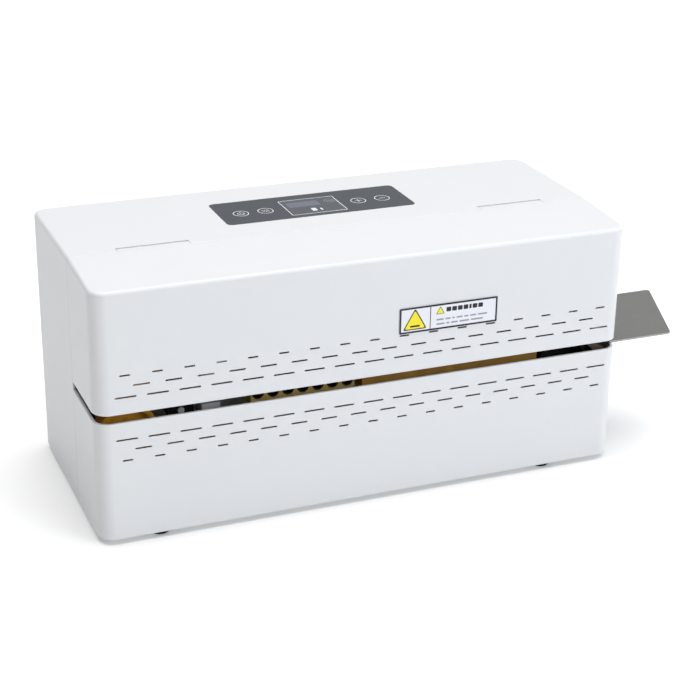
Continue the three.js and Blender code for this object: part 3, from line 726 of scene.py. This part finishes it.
PLAIN = {
    "base_tray": "zinc_sheet", "cover_hinge_pin_left": "bright_steel",
    "cover_hinge_pin_right": "bright_steel", "control_board": "circuit_board",
    "display_module": "black_plastic", "main_frame_plate": "frame_aluminium",
    "gear_motor": "motor_paint", "motor_bracket": "zinc_sheet", "fan_frame": "black_plastic",
    "fan_rotor": "gear_nylon", "power_supply_board": "circuit_board",
    "power_inlet": "black_plastic", "power_switch_frame": "black_plastic",
    "power_switch_rocker": "black_plastic", "fuse_holder": "black_plastic",
    "support_plate_bracket": "zinc_sheet", "infeed_guide": "bronze",
}
BELT_SET = {
    "belt": "ptfe_belt", "drive_wheel": "amber_plastic", "drive_shaft": "bright_steel",
    "drive_gear": "gear_nylon", "shaft_bush": "bronze", "idler_wheel": "gear_nylon",
    "idler_axle": "bright_steel", "pressure_roller": "black_rubber", "roller_arm": "zinc_sheet",
    "cooling_block": "brass_block", "heater_block": "heater_bronze",
    "heater_cartridge": "bright_steel", "heater_insulator": "ceramic_board",
}


def build_cooling_bore_shade():
    """Black tubes in the lower cooling block's row of holes, with a ring round each mouth: painted
    shade that makes the bores read dark.
    """
    count, skin, radius, mouth = 7, 0.8, 5, 5.6
    low, high = extent("lower_cooling_block")
    pitch = (high[0] - low[0]) / count
    z = high[2] - skin - radius
    # Each tube is painted shade: a black lining where the bore is only in shadow.
    liners = []
    for i in range(count):
        profile = [(radius - 0.6, low[1] - 0.05), (mouth, low[1] - 0.05), (mouth, low[1] + 0.02),
                   (radius + 0.05, low[1] + 0.02), (radius + 0.05, high[1]), (radius - 0.6, high[1])]
        centre = (low[0] + pitch * (i + 0.5), z)
        liners.append(lathe(profile, "y", centre, 40, ring_shaped=True))
    dress(joined(liners), "lower_cooling_bore_shade", "brass_block", on="lower_cooling_block",
          finish_name="black_plastic")


def build_mechanism():
    """Everything inside, as its CAD part with softened edges."""
    for node, slot_name in PLAIN.items():
        refine(node, slot_name)
    for level in ("lower", "upper"):
        for part, slot_name in BELT_SET.items():
            # The upper cooling and heater blocks take the darker bronze: painted shade, not a different
            # metal.
            dark = level == "upper" and part in ("cooling_block", "heater_block")
            refine(f"{level}_{part}", slot_name, 0.1 if part == "belt" else 0.3,
                   finish_name="painted_shade_bronze" if dark else None)
    build_cooling_bore_shade()


# ---- Scene --------------------------------------------------------------------------------------

def build_camera():
    """The camera's place and turn: across, down and its slight roll."""
    position = at(-533.85, -1354.19, 725.34)
    yaw, pitch, roll = 0.390053, 0.405528, 0.016930
    ahead = Vector((math.sin(yaw) * math.cos(pitch), math.cos(yaw) * math.cos(pitch),
                    -math.sin(pitch)))
    level = Vector((math.cos(yaw), -math.sin(yaw), 0))
    up = level.cross(ahead)
    across = level * math.cos(roll) + up * math.sin(roll)
    upright = up * math.cos(roll) - level * math.sin(roll)
    data = bpy.data.cameras.new("camera")
    data.lens, data.sensor_width = 86.42, 36
    data.clip_start, data.clip_end = 0.1, 50
    camera = bpy.data.objects.new("camera", data)
    bpy.context.scene.collection.objects.link(camera)
    turn = Matrix((across, upright, -ahead)).transposed()
    camera.matrix_world = Matrix.Translation(position) @ turn.to_4x4()
    bpy.context.scene.camera = camera


def build_studio():
    """A pale floor, a sky that is brighter on the right, and two soft lights."""
    sky_left, sky_right, floor_tone, floor_half = 0.02, 0.62, 0.74, 15
    scene = bpy.context.scene
    scene.view_settings.view_transform = "Standard"
    world = bpy.data.worlds.new("studio")
    world.use_nodes = True
    nodes, links = world.node_tree.nodes, world.node_tree.links
    where = nodes.new("ShaderNodeTexCoord")
    axes = nodes.new("ShaderNodeSeparateXYZ")
    across = nodes.new("ShaderNodeMapRange")
    across.inputs["From Min"].default_value, across.inputs["From Max"].default_value = -1.0, 1.0
    across.inputs["To Min"].default_value = sky_left
    across.inputs["To Max"].default_value = sky_right
    links.new(where.outputs["Generated"], axes.inputs["Vector"])
    links.new(axes.outputs["X"], across.inputs["Value"])
    links.new(across.outputs["Result"], nodes["Background"].inputs["Strength"])
    nodes["Background"].inputs["Color"].default_value = (1, 1, 1, 1)
    scene.world = world
    mesh = bpy.data.meshes.new("floor")
    mesh.from_pydata([(a * floor_half, b * floor_half, 0)
                      for a, b in ((-1, -1), (1, -1), (1, 1), (-1, 1))], [], [(0, 1, 2, 3)])
    floor = bpy.data.objects.new("floor", mesh)
    scene.collection.objects.link(floor)
    paper = bpy.data.materials.new("paper")
    paper.use_nodes = True
    shader = paper.node_tree.nodes["Principled BSDF"]
    shader.inputs["Base Color"].default_value = (floor_tone, floor_tone, floor_tone, 1)
    shader.inputs["Roughness"].default_value = 0.9
    shader.inputs["Specular IOR Level"].default_value = 0.1
    shader.inputs["Emission Color"].default_value = (1, 1, 1, 1)
    shader.inputs["Emission Strength"].default_value = 0.2
    mesh.materials.append(paper)
    overhead = bpy.data.lights.new("overhead_softbox", "SUN")
    overhead.energy, overhead.angle = 3.1, math.radians(60)
    place_light(overhead, (0, 0, 3), (0.06, 0.03, 1.0))
    front = bpy.data.lights.new("front_softbox", "AREA")
    front.shape, front.size, front.size_y = "RECTANGLE", 1.2, 0.8
    front.energy, front.color = 29, (0.86, 0.93, 1.0)
    place_light(front, (1.5, -2.4, 1.15), (1.5, -2.4, 1.0))


def place_light(lamp, position, towards):
    """A light at a position, its back towards a direction."""
    thing = bpy.data.objects.new(lamp.name, lamp)
    turn = Vector(towards).to_track_quat("Z", "Y").to_matrix().to_4x4()
    thing.matrix_world = Matrix.Translation(position) @ turn
    bpy.context.scene.collection.objects.link(thing)


build_camera()
build_upper_cover()
build_lower_cover()
build_housing()
build_panel()
build_label()
build_feet()
build_support_plate()
build_mechanism()
build_studio()
